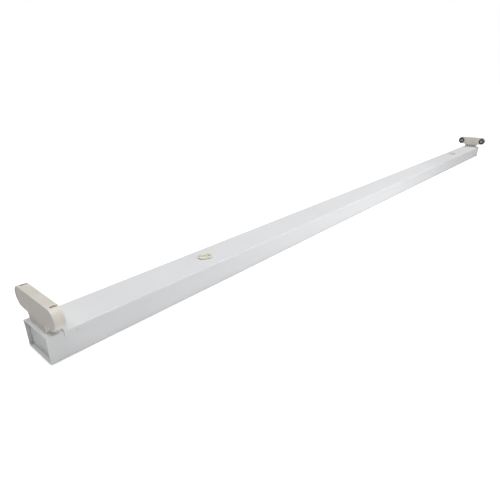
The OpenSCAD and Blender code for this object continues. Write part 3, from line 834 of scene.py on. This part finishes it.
@dataclass
class Housing:
    """Folded sheet: channel, end plates, end bridges and lid, with their rivets and feed-through."""

    sheets: tuple[str, ...] = (
        "base_channel", "end_plate_near", "end_plate_far", "end_bridge_near", "end_bridge_far", "cover_lid",
    )
    rivet_shank: float = 1.5 * MM
    rivet_head: float = 2.2 * MM
    rivet_dome: float = 0.9 * MM
    sheet: float = 0.6 * MM
    bracket: float = 1.0 * MM

    def build(self, palette: Palette) -> None:
        """Dresses the sheet metal and models the rivets and the bush.

        Args:
            palette: All the finishes.
        """
        for node in self.sheets:
            dress(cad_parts[node], [palette.white])
            log.info("%s: powder coated", node)
        for name, node, grip in (
            ("rivet_heads_plates", "end_plate_rivets", 2 * self.sheet),
            ("rivet_heads_brackets", "bracket_rivets", self.sheet + self.bracket),
        ):
            self._rivets(name, self._rivet_place(node), grip, palette, node)
        bush = rounded_copy("cable_bush", "feed_through_bush", 0.5 * MM, 3)
        place(bush, palette.rubber, "base", "bush_rubber", "cable_bush")

    def _rivet_place(self, node: str) -> tuple[float, float]:
        """Reads how far out the middle of a node's rivets lies."""
        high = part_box(node)[1]
        return high.x - self.rivet_head, high.y - self.rivet_head

    def _rivets(self, name: str, spot: tuple[float, float], grip: float, palette: Palette, node: str) -> None:
        """Models one domed blind rivet and sets four copies of it.

        Args:
            name: Name of the piece.
            spot: Distance of the rivets from the middle along X and Y.
            grip: Thickness of the sheets that the rivet joins.
            palette: All the finishes.
            node: The node that the piece stands for.
        """
        heads: list[Piece] = []
        for x in (spot[0], -spot[0]):
            for y in (spot[1], -spot[1]):
                if heads:
                    rivet = take(copy_of(heads[0], "rivet"))
                    shift(x - spot[0], y - spot[1], 0)
                    fix_place()
                else:
                    rivet = self._rivet(x, y, grip)
                heads.append(rivet)
        place(joined(name, heads), palette.zinc, "base", "zinc_steel", node)

    def _rivet(self, x: float, y: float, grip: float) -> Piece:
        """Models a blind rivet: shank, domed head and the pit where its mandrel broke off.

        Args:
            x: Place along the batten.
            y: Place across it.
            grip: Thickness of the joined sheets.

        Returns:
            The rivet.
        """
        rivet = rod("rivet", self.rivet_shank, (x, y, 0), grip, "Z", 24)
        edit()
        pick(rivet, Pick.FACES, lambda middle, normal: normal.z > FACING)
        wide = self.rivet_head / self.rivet_shank
        extrude((0, 0, 0))
        stretch(wide, wide, 1, (x, y, grip))
        for rise, reach in ((0.35, 1.0), (0.35, 0.86), (0.3, 0.6)):
            extrude((0, 0, self.rivet_dome * rise))
            if reach < 1.0:
                stretch(reach, reach, 1, (x, y, 0))
        bpy.ops.mesh.inset(thickness=0.25 * MM)
        extrude((0, 0, -0.35 * MM))
        leave()
        tidy_skin(rivet)
        return smooth(rivet, 50)


@dataclass
class Lampholder:
    """Twin lampholder, modelled at the far end and copied to the near one."""

    thickness: float = 10.5 * MM
    arm_radius: float = 11.6 * MM
    arm_y: float = 31.5 * MM
    arm_z: float = 50.9 * MM
    neck_top: float = 18.6 * MM
    neck_base: float = 17.25 * MM
    fillet: float = 3.5 * MM
    front: float = 3.2 * MM
    front_step: float = 0.3 * MM
    seam: float = 0.05 * MM
    wall: float = 1.5 * MM
    back_floor: float = 1.2 * MM
    panel_depth: float = 0.4 * MM
    panel_rim: float = 1.1 * MM
    panel_up: float = 2.4 * MM
    foot_drop: float = 9.0 * MM
    foot_half: float = 16.6 * MM
    foot_from: float = 3.35 * MM
    foot_to: float = 9.85 * MM
    foot_wall: float = 1.4 * MM
    window_pitch: float = 7.3 * MM
    window: tuple[float, float] = (3.5 * MM, 4.0 * MM)
    window_up: float = 5.5 * MM
    mark_half: float = 1.0 * MM
    flare: float = 0.9 * MM
    mould_mark_in: float = 13.0 * MM
    ring_hole: float = 9.06 * MM
    flange_hole: float = 9.55 * MM
    pin_slot: float = 2.8 * MM
    pin_floor: float = 7.8 * MM
    pivot_hole: float = 2.06 * MM
    boss_wall: float = 1.4 * MM
    rotor_back: float = 8.5 * MM
    edge: float = 0.45 * MM

    def build(self, palette: Palette) -> None:
        """Models the two mouldings and sets them at both ends.

        Args:
            palette: All the finishes.
        """
        rear = self._rear()
        face = self._front()
        for piece, part in ((rear, "body"), (face, "face")):
            near = turned_round(piece, f"lampholder_{part}_near")
            place(piece, palette.beige, "base", "beige_plastic", f"holder_{part}_far")
            place(near, palette.beige, "base", "beige_plastic", f"holder_{part}_near")
            if part == "body":
                # The sunk rear panel gets the matt finish, darker as painted shade, so that its rim reads
                # lighter.
                sunk = FACE_X + self.thickness - self.panel_depth
                for twin in (piece, near):
                    second_finish(twin, palette.beige_matt_painted_shade, lambda middle, normal: abs(normal.x) > FACING
                                  and sunk - 0.4 * MM < abs(middle.x) < sunk + 0.05 * MM)
        for end in End:
            dress(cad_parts[f"contacts_{end.name.lower()}"], [palette.dull_brass])

    def moulding(self, name: str, inset: float, low: float, start: float, stop: float) -> Piece:
        """Models the solid outline of the lampholder, from a circle pulled out to both arms.

        Args:
            name: Name of the solid.
            inset: How far the outline is drawn in.
            low: Height of its foot.
            start: Where it starts, measured outwards from the tube side.
            stop: Where it ends.

        Returns:
            The solid.
        """
        radius = self.arm_radius - inset
        x = FACE_X + start
        bottom = self.arm_z - radius
        sides = 62
        clear_bench()
        bpy.ops.mesh.primitive_circle_add(
            vertices=sides, radius=radius, fill_type="NGON", location=(x, 0, self.arm_z),
            rotation=(0, math.pi / 2, 0),
        )
        piece = settle(name)
        edit()
        for side in Side:
            pick(piece, Pick.POINTS, lambda middle, _: middle.y * side.value > 0)
            shift(0, side.value * self.arm_y, 0)
        pick(piece, Pick.EDGES, lambda middle, _: abs(middle.y) < 1e-5 and middle.z < self.arm_z)
        bpy.ops.mesh.subdivide(number_cuts=2)
        third = (self.arm_y + radius * math.sin(math.pi / sides)) / 3
        half = self.neck_top - inset
        inner = lambda middle, _: abs(middle.y) < 1.2 * third and middle.z < self.arm_z
        pick(piece, Pick.POINTS, inner)
        stretch(1, half / third, 1, (x, 0, bottom))
        pick(piece, Pick.EDGES, lambda middle, _: abs(middle.y) < 1e-5 and middle.z < self.arm_z)
        straight = self.fillet + inset + 0.1 * MM
        extrude((0, 0, -straight))
        extrude((0, 0, low - (bottom - straight)))
        foot = (self.neck_base - inset) / half
        stretch(1, foot, 1, (x, 0, low))
        pick_all()
        bpy.ops.mesh.dissolve_limited(angle_limit=math.radians(1))
        corner = lambda middle, _: abs(abs(middle.y) - half) < 0.05 * MM and abs(middle.z - bottom) < 0.1 * MM
        pick(piece, Pick.POINTS, corner)
        bpy.ops.mesh.bevel(offset=self.fillet + inset, segments=9, affect="VERTICES")
        bpy.ops.mesh.select_mode(type="FACE")
        pick_all()
        extrude((stop - start, 0, 0))
        pick_all()
        bpy.ops.mesh.normals_make_consistent(inside=False)
        leave()
        return piece

    def _rear(self) -> Piece:
        """Models the rear moulding: a shell with a sunk panel, pivots and the clip-in foot."""
        shell = self.moulding("lampholder_body_far", 0, BODY_TOP, self.front + self.seam, self.thickness)
        back = FACE_X + self.thickness
        edit()
        pick(shell, Pick.FACES, lambda _, normal: normal.x > FACING)
        bpy.ops.mesh.inset(thickness=self.panel_rim)
        extrude((-self.panel_depth, 0, 0))
        low = BODY_TOP + self.panel_rim
        pick(shell, Pick.POINTS, lambda middle, _: abs(middle.z - low) < 0.1 * MM)
        shift(0, 0, self.panel_up - self.panel_rim)
        leave()
        soften(shell, self.edge, 3, 50)
        cavity = self.moulding("cavity", self.wall, BODY_TOP + self.wall, self.front - CUT,
                               self.thickness - self.back_floor)
        carve(shell, cavity)
        low = BODY_TOP - self.foot_drop
        foot = block("foot", (FACE_X + self.foot_from, -self.foot_half, low),
                     (FACE_X + self.foot_to, self.foot_half, BODY_TOP + self.wall / 2))
        bosses = [
            rod("boss", self.pivot_hole + self.boss_wall,
                (FACE_X + self.rotor_back + 0.15 * MM, side.lamp_y, LAMP_Z),
                self.thickness - self.back_floor - self.rotor_back + 0.1 * MM, sides=32)
            for side in Side
        ]
        fuse(shell, foot, *bosses)
        hollow = block(
            "hollow",
            (FACE_X + self.foot_from + self.foot_wall, -self.foot_half + self.foot_wall, low - CUT),
            (FACE_X + self.foot_to - self.foot_wall, self.foot_half - self.foot_wall,
             BODY_TOP + self.wall + 0.5 * MM),
        )
        cutters = [hollow]
        for side in Side:
            y = side.lamp_y
            cutters.append(self._pin_way(side, self.front - CUT, self.pin_floor))
            start = (FACE_X + self.rotor_back - 0.5 * MM, y, LAMP_Z)
            cutters.append(rod("pivot_hole", self.pivot_hole, start, 1.65 * MM, sides=32))
        mark_z = BODY_TOP + self.window_up
        for step in WINDOW_STEPS:
            y = step * self.window_pitch
            cutters.append(block(
                "release_mark",
                (back - self.panel_depth - 0.3 * MM, y - self.mark_half, mark_z - 0.55 * MM),
                (back + CUT, y + self.mark_half, mark_z + 0.55 * MM),
            ))
        carve(shell, *cutters)
        return shell

    def _front(self) -> Piece:
        """Models the front moulding: a shallow shell with two sockets and four wire windows."""
        shell = self.moulding("lampholder_face_far", self.front_step, BODY_TOP, 0, self.front)
        soften(shell, self.edge, 3, 50)
        cavity = self.moulding("cavity", self.wall + self.front_step, BODY_TOP + self.wall, self.wall,
                               self.front + CUT)
        carve(shell, cavity)
        cutters: list[Piece] = []
        for side in Side:
            y = side.lamp_y
            cutters.append(rod("ring_hole", self.ring_hole, (FACE_X - CUT, y, LAMP_Z), self.wall + 1.2 * MM))
            cutters.append(rod("flange_hole", self.flange_hole, (FACE_X + self.wall, y, LAMP_Z), self.front))
            cutters.append(self._pin_way(side, -CUT, self.front + CUT))
            mark = side.value * (LAMP_Y - self.mould_mark_in)
            cutters.append(block(
                "mould_mark",
                (FACE_X - CUT, mark - 0.3 * MM, LAMP_Z - 4.5 * MM),
                (FACE_X + 0.2 * MM, mark + 0.3 * MM, LAMP_Z + 4.5 * MM),
            ))
        width, height = self.window
        for step in WINDOW_STEPS:
            y = step * self.window_pitch
            cutters.append(self._window(y, width, height))
        carve(shell, *cutters)
        low = LAMP_Z - 9.3 * MM
        nibs = [
            block("index_nib", (FACE_X + 0.2 * MM, side.lamp_y - 1.2 * MM, low),
                  (FACE_X + 0.85 * MM, side.lamp_y + 1.2 * MM, low + 1.35 * MM))
            for side in Side
        ]
        fuse(shell, *nibs)
        return shell

    def _pin_way(self, side: Side, start: float, stop: float) -> Piece:
        """Makes the cutter for the slot that lets a tube's pins in from above.

        Args:
            side: Which socket.
            start: Where the slot starts, measured outwards from the tube side.
            stop: Where it ends.

        Returns:
            The cutter.
        """
        y = side.lamp_y
        half = self.pin_slot / 2
        return block("pin_way", (FACE_X + start, y - half, LAMP_Z),
                     (FACE_X + stop, y + half, self.arm_z + self.arm_radius + CUT))

    def _window(self, y: float, width: float, height: float) -> Piece:
        """Makes the cutter for one wire window, flared towards the front.

        Args:
            y: Place of the window across the batten.
            width: Width of the window.
            height: Height of the window.

        Returns:
            The cutter.
        """
        z = BODY_TOP + self.window_up
        cutter = block("window", (FACE_X - 0.5 * MM, y - width / 2, z - height / 2),
                       (FACE_X + self.wall + 0.5 * MM, y + width / 2, z + height / 2))
        edit()
        pick(cutter, Pick.FACES, lambda _, normal: normal.x < -FACING)
        shift(self.flare, 0, 0)
        extrude((-self.flare, 0, 0))
        stretch(1, 1.12, 1.1, (FACE_X, y, z))
        leave()
        return cutter


@dataclass
class Socket:
    """Turning socket: a black rotor stepped by extrusion, and its pale split core."""

    ring: float = 9.0 * MM
    rabbet: float = 1.2 * MM
    rabbet_depth: float = 0.8 * MM
    front: float = 0.2 * MM
    flange: float = 9.4 * MM
    flange_from: float = 1.65 * MM
    flange_depth: float = 0.8 * MM
    drum: float = 7.5 * MM
    back: float = 8.5 * MM
    pivot: float = 2.0 * MM
    pivot_length: float = 1.0 * MM
    core: float = 4.0 * MM
    core_front: float = 0.05 * MM
    core_play: float = 0.05 * MM
    slot: float = 2.8 * MM
    slot_floor: float = 7.8 * MM
    core_floor: float = 0.6 * MM
    sides: int = 72

    def build(self, palette: Palette) -> None:
        """Models one rotor and one core and sets four of each.

        Args:
            palette: All the finishes.
        """
        rotor = self._rotor()
        core = self._core()
        for end in End:
            for side in Side:
                where = f"{end.name.lower()}_{side.name.lower()}"
                for master, kind, finish, slot in (
                    (rotor, "rotor", palette.black, "black_plastic"),
                    (core, "core", palette.core, "core_plastic"),
                ):
                    piece = self._set(master, f"socket_{kind}_{where}", end, side)
                    place(piece, finish, f"socket_{where}", slot, f"{kind}_{where}")
        bpy.data.objects.remove(rotor)
        bpy.data.objects.remove(core)

    def _set(self, master: Piece, name: str, end: End, side: Side) -> Piece:
        """Copies a master from the far left socket to another one.

        Args:
            master: The rotor or core at the far left.
            name: Name of the copy.
            end: Which end it goes to.
            side: Which side it goes to.

        Returns:
            The copy in its place.
        """
        piece = take(copy_of(master, name))
        if side.value * end.value < 0:
            shift(0, -2 * LAMP_Y, 0)
        fix_place()
        if end is End.NEAR:
            turn_z(math.pi, 0)
        return piece

    def _step(self, spot: Point, wide: float, to: float) -> None:
        """Scales the selected end face and extrudes it along the axis.

        Args:
            spot: Middle of the face.
            wide: New radius over the old one.
            to: Length of the next step.
        """
        extrude((0, 0, 0))
        stretch(1, wide, wide, spot)
        extrude((to, 0, 0))

    def _rotor(self) -> Piece:
        """Models the rotor from one short cylinder, stepped out and in at both ends."""
        start = FACE_X + self.front + self.rabbet_depth
        rotor = rod("rotor", self.ring, (start, LAMP_Y, LAMP_Z), FACE_X + self.flange_from - start,
                    sides=self.sides)
        edit()
        pick(rotor, Pick.FACES, lambda _, normal: normal.x > FACING)
        x = FACE_X + self.flange_from
        self._step((x, LAMP_Y, LAMP_Z), self.flange / self.ring, self.flange_depth)
        x += self.flange_depth
        self._step((x, LAMP_Y, LAMP_Z), self.drum / self.flange, FACE_X + self.back - x)
        x = FACE_X + self.back
        self._step((x, LAMP_Y, LAMP_Z), self.pivot / self.drum, self.pivot_length)
        pick(rotor, Pick.FACES, lambda middle, normal: normal.x < -FACING and middle.x < start + 1e-5)
        bpy.ops.mesh.inset(thickness=self.rabbet)
        pick(rotor, Pick.FACES, lambda middle, normal: normal.x < -FACING and abs(middle.y - LAMP_Y) < 1e-4
             and abs(middle.z - LAMP_Z) < 1e-4 and middle.x < start + 1e-5)
        extrude((-self.rabbet_depth, 0, 0))
        leave()
        reach = self.flange + CUT
        carve(
            rotor,
            rod("core_hole", self.core + self.core_play, (FACE_X - CUT, LAMP_Y, LAMP_Z),
                self.slot_floor + CUT, sides=48),
            block("slot", (FACE_X - CUT, LAMP_Y - self.slot / 2, LAMP_Z - reach),
                  (FACE_X + self.slot_floor, LAMP_Y + self.slot / 2, LAMP_Z + reach)),
        )
        tidy_skin(rotor)
        return soften(rotor, 0.22 * MM, 2, 50)

    def _core(self) -> Piece:
        """Models the pale core, a rod split by the pin slot."""
        core = rod("core", self.core, (FACE_X + self.core_front, LAMP_Y, LAMP_Z),
                   self.slot_floor - self.core_front, sides=48)
        carve(core, block(
            "slot", (FACE_X - CUT, LAMP_Y - self.slot / 2, LAMP_Z - self.core - CUT),
            (FACE_X + self.slot_floor - self.core_floor, LAMP_Y + self.slot / 2, LAMP_Z + self.core + CUT),
        ))
        tidy_skin(core)
        return soften(core, 0.4 * MM, 3, 50)


@dataclass
class TurnFastener:
    """Quarter-turn fastener of the lid: knob, latch bar and bracket."""

    pitch: float = 1.088
    length: float = 20.0 * MM
    width: float = 14.0 * MM
    plate: float = 2.0 * MM
    rib_height: float = 2.6 * MM
    rib_width: float = 2.2 * MM
    rib_length: float = 9.0 * MM
    rib_in: float = 2.0 * MM
    eye: float = 1.8 * MM
    eye_in: float = 5.0 * MM
    shank: float = 4.0 * MM
    peg: float = 2.5 * MM
    turns: tuple[float, float] = (-25.0, 65.0)

    def build(self, palette: Palette) -> None:
        """Models both knobs and softens the bars and brackets.

        Args:
            palette: All the finishes.
        """
        for end, finish, turn in zip(End, (palette.nylon_near, palette.nylon_far), self.turns):
            where = end.name.lower()
            place(self._knob(end, turn), finish, f"fastener_{where}", "cream_nylon", f"turn_knob_{where}")
            bar = rounded_copy(f"latch_bar_{where}", f"fastener_bar_{where}", 0.35 * MM, 2)
            place(bar, finish, f"fastener_{where}", "cream_nylon", f"latch_bar_{where}")
            bracket = rounded_copy(f"latch_bracket_{where}", f"fastener_bracket_{where}", 0.25 * MM, 2)
            place(bracket, palette.zinc, "base", "zinc_steel", f"latch_bracket_{where}")

    def _knob(self, end: End, turn: float) -> Piece:
        """Models an oblong knob from a disc pulled out to both ends, with a rib, an eye and its shank.

        Args:
            end: Which fastener.
            turn: Degrees that the handle is turned from the X axis.

        Returns:
            The knob.
        """
        x = end.value * self.pitch / 2
        node_low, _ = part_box(f"turn_knob_{end.name.lower()}")
        radius = self.width / 2
        reach = self.length / 2 - radius
        knob = rod("knob", radius, (x, 0, BODY_TOP), self.plate, "Z", 62)
        edit()
        for sign in (1, -1):
            pick(knob, Pick.POINTS, lambda middle, _: (middle.x - x) * sign > 0)
            shift(sign * reach, 0, 0)
        leave()
        soften(knob, 0.6 * MM, 4, 50)
        rib_x = x - self.length / 2 + self.rib_in
        rib = block("rib", (rib_x, -self.rib_width / 2, BODY_TOP + self.plate / 2),
                    (rib_x + self.rib_length, self.rib_width / 2, BODY_TOP + self.plate + self.rib_height))
        edit()
        pick(rib, Pick.FACES, lambda _, normal: normal.z > FACING)
        stretch(0.82, 0.72, 1, (rib_x + self.rib_length / 2, 0, 0))
        leave()
        soften(rib, 0.5 * MM, 3, 50)
        fuse(knob, rib)
        eye_x = x + self.length / 2 - self.eye_in
        carve(knob, rod("eye", self.eye, (eye_x, 0, BODY_TOP + self.plate / 4), self.plate, "Z", 32))
        take(knob)
        turn_z(-math.radians(turn), x)
        fuse(
            knob,
            rod("shank", self.shank, (x, 0, BODY_TOP - 0.7 * MM), 1.2 * MM, "Z", 48),
            rod("peg", self.peg, (x, 0, node_low.z), BODY_TOP - node_low.z, "Z", 32),
        )
        knob.name = f"fastener_knob_{end.name.lower()}"
        knob.data.name = knob.name
        return knob


@dataclass
class Wiring:
    """Terminal block, earth point, clips and the internal leads."""

    lead: float = 1.1 * MM
    sides: int = 5
    face_leads: float = 0.7571
    run_y: tuple[float, float] = (0.0, 0.0)
    pole_z: float = 5.6 * MM
    lead_z: float = 1.8 * MM
    drop: float = 16.0 * MM
    block_half: float = 10.0 * MM
    lead_in: float = 7.0 * MM
    pole: float = 8.0 * MM
    shift_from: float = 70.0 * MM
    shift: float = 46.0 * MM
    pitch: float = 7.3 * MM
    top: float = 37.0 * MM
    earth_y: float = -13.0 * MM
    earth_z: float = 3.1 * MM
    earth_end: float = -48.66 * MM

    def build(self, palette: Palette) -> None:
        """Models the leads and dresses what they join.

        Args:
            palette: All the finishes.
        """
        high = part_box("neutral_leads")[1].y
        self.run_y = (high - self.lead - 2 * self.lead - 0.5 * MM, high - self.lead)
        for use, sign, colour in (("live", -1, "brown"), ("neutral", 1, "blue")):
            pair = []
            for k in (0, 1):
                route = [(sign * x, y, z) for x, y, z in self._lamp_route(k)]
                pair.append(self._tube(f"{use}_lead_{k}", softened(route, 3)))
            leads = joined(f"{use}_lead_pair", pair)
            place(leads, palette.sleeves[colour], "base", f"lead_{colour}", f"{use}_leads")
        self._earth(palette)
        for node, name, width, finish, slot in (
            ("terminal_block", "terminal_block_moulding", 0.5 * MM, palette.terminal, "terminal_plastic"),
            ("lead_clips", "lead_saddles", 0.4 * MM, palette.beige, "beige_plastic"),
            ("block_fixing_screws", "block_screws", 0.3 * MM, palette.zinc, "zinc_steel"),
            ("terminal_screws", "clamp_screws", 0.15 * MM, palette.zinc, "zinc_steel"),
            ("earth_nut", "earth_nut_chamfered", 0.35 * MM, palette.zinc, "zinc_steel"),
        ):
            place(rounded_copy(node, name, width), finish, "base", slot, node)
        for node, finish in (
            ("terminal_clamps", palette.brass), ("earth_tag", palette.brass), ("earth_stud", palette.zinc),
        ):
            dress(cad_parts[node], [finish])

    def _lamp_route(self, k: int) -> list[Point]:
        """Lists the corners of one lead from the block to the far lampholder.

        Args:
            k: 0 for the inner lead, 1 for the outer one.

        Returns:
            The corners of the route.
        """
        x = (2 - k) * self.pole
        y = self.run_y[k]
        end = self.face_leads
        end_y = (-self.pitch / 2, self.pitch / 2)[k]
        return [
            (x, self.block_half - self.lead_in, self.pole_z), (x, self.block_half, self.pole_z),
            (x, y, self.pole_z),
            (x + self.drop, y, self.lead_z), (x + 2 * self.drop, y, self.lead_z),
            (end - self.shift_from - self.drop, y, self.lead_z), (end - self.shift_from, y, self.lead_z),
            (end - self.shift_from + self.shift, end_y, self.lead_z), (end, end_y, self.lead_z),
            (end, end_y, self.top),
        ]

    def _tube(self, name: str, route: Sequence[Vector]) -> Piece:
        """Makes a round lead along a route.

        Args:
            name: Name of the lead.
            route: Points along its middle.

        Returns:
            The lead as a mesh.
        """
        clear_bench()
        curve = bpy.data.curves.new(name, "CURVE")
        curve.dimensions = "3D"
        curve.bevel_depth = self.lead
        curve.bevel_resolution = self.sides
        curve.use_fill_caps = True
        line = curve.splines.new("POLY")
        line.points.add(len(route) - 1)
        for point, place_at in zip(line.points, route):
            point.co = (*place_at, 1)
        piece = bpy.data.objects.new(name, curve)
        link(piece)
        take(piece)
        bpy.ops.object.convert(target="MESH")
        piece = bpy.context.object
        tidy_skin(piece)
        return smooth(piece, 40)

    def _earth(self, palette: Palette) -> None:
        """Models the striped earth lead.

        Args:
            palette: All the finishes.
        """
        route = softened([
            (0, self.lead_in - self.block_half, self.pole_z), (0, -self.block_half, self.pole_z),
            (0, self.earth_y, self.pole_z), (-self.drop, self.earth_y, self.earth_z),
            (-2 * self.drop, self.earth_y, self.earth_z), (self.earth_end, self.earth_y, self.earth_z),
        ], 3)
        lead = self._tube("earth_lead_striped", route)
        place(lead, palette.sleeves["green"], "base", "lead_green", "earth_lead")
        lead.data.materials.append(palette.sleeves["yellow"])
        frames = carried(route, Vector((1, 0, 0)))
        for face in lead.data.polygons:
            near = min(range(len(route)), key=lambda i: (route[i] - face.center).length_squared)
            if abs(face.normal.dot(frames[near])) > 0.75:
                face.material_index = 1


def softened(corners: Iterable[Sequence[float]], times: int) -> list[Vector]:
    """Rounds a route by cutting its corners, and keeps its two ends.

    Args:
        corners: The route's corners.
        times: How often the corners are cut.

    Returns:
        The rounded route.
    """
    route = [Vector(corner) for corner in corners]
    for _ in range(times):
        inner = [q for a, b in zip(route, route[1:]) for q in (a * 0.75 + b * 0.25, a * 0.25 + b * 0.75)]
        route = [route[0], *inner, route[-1]]
    return route


def carried(route: Sequence[Vector], first: Vector) -> list[Vector]:
    """Carries a direction along a route without a twist.

    Args:
        route: Points of the route.
        first: The direction at its start.

    Returns:
        The direction at each point.
    """
    found: list[Vector] = []
    direction = first
    for i in range(len(route)):
        ahead = (route[min(i + 1, len(route) - 1)] - route[max(i - 1, 0)]).normalized()
        direction = (direction - direction.dot(ahead) * ahead).normalized()
        found.append(direction)
    return found


def main() -> None:
    """Builds the studio and every sub-assembly in order."""
    logging.basicConfig(level=logging.INFO, format="%(name)s: %(message)s")
    cad_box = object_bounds()
    studio = Studio()
    studio.camera()
    effects = Effects()
    palette = Palette(effects)
    for assembly in (Housing(), Lampholder(), Socket(), TurnFastener(), Wiring()):
        log.info("building %s", type(assembly).__name__)
        assembly.build(palette)
    studio.floor(effects)
    studio.lights()
    clear_bench()
    sizes = {"cad": [list(map(float, corner)) for corner in cad_box],
             "visual": [list(map(float, corner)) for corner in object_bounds()]}


if __name__ == "__main__":
    main()
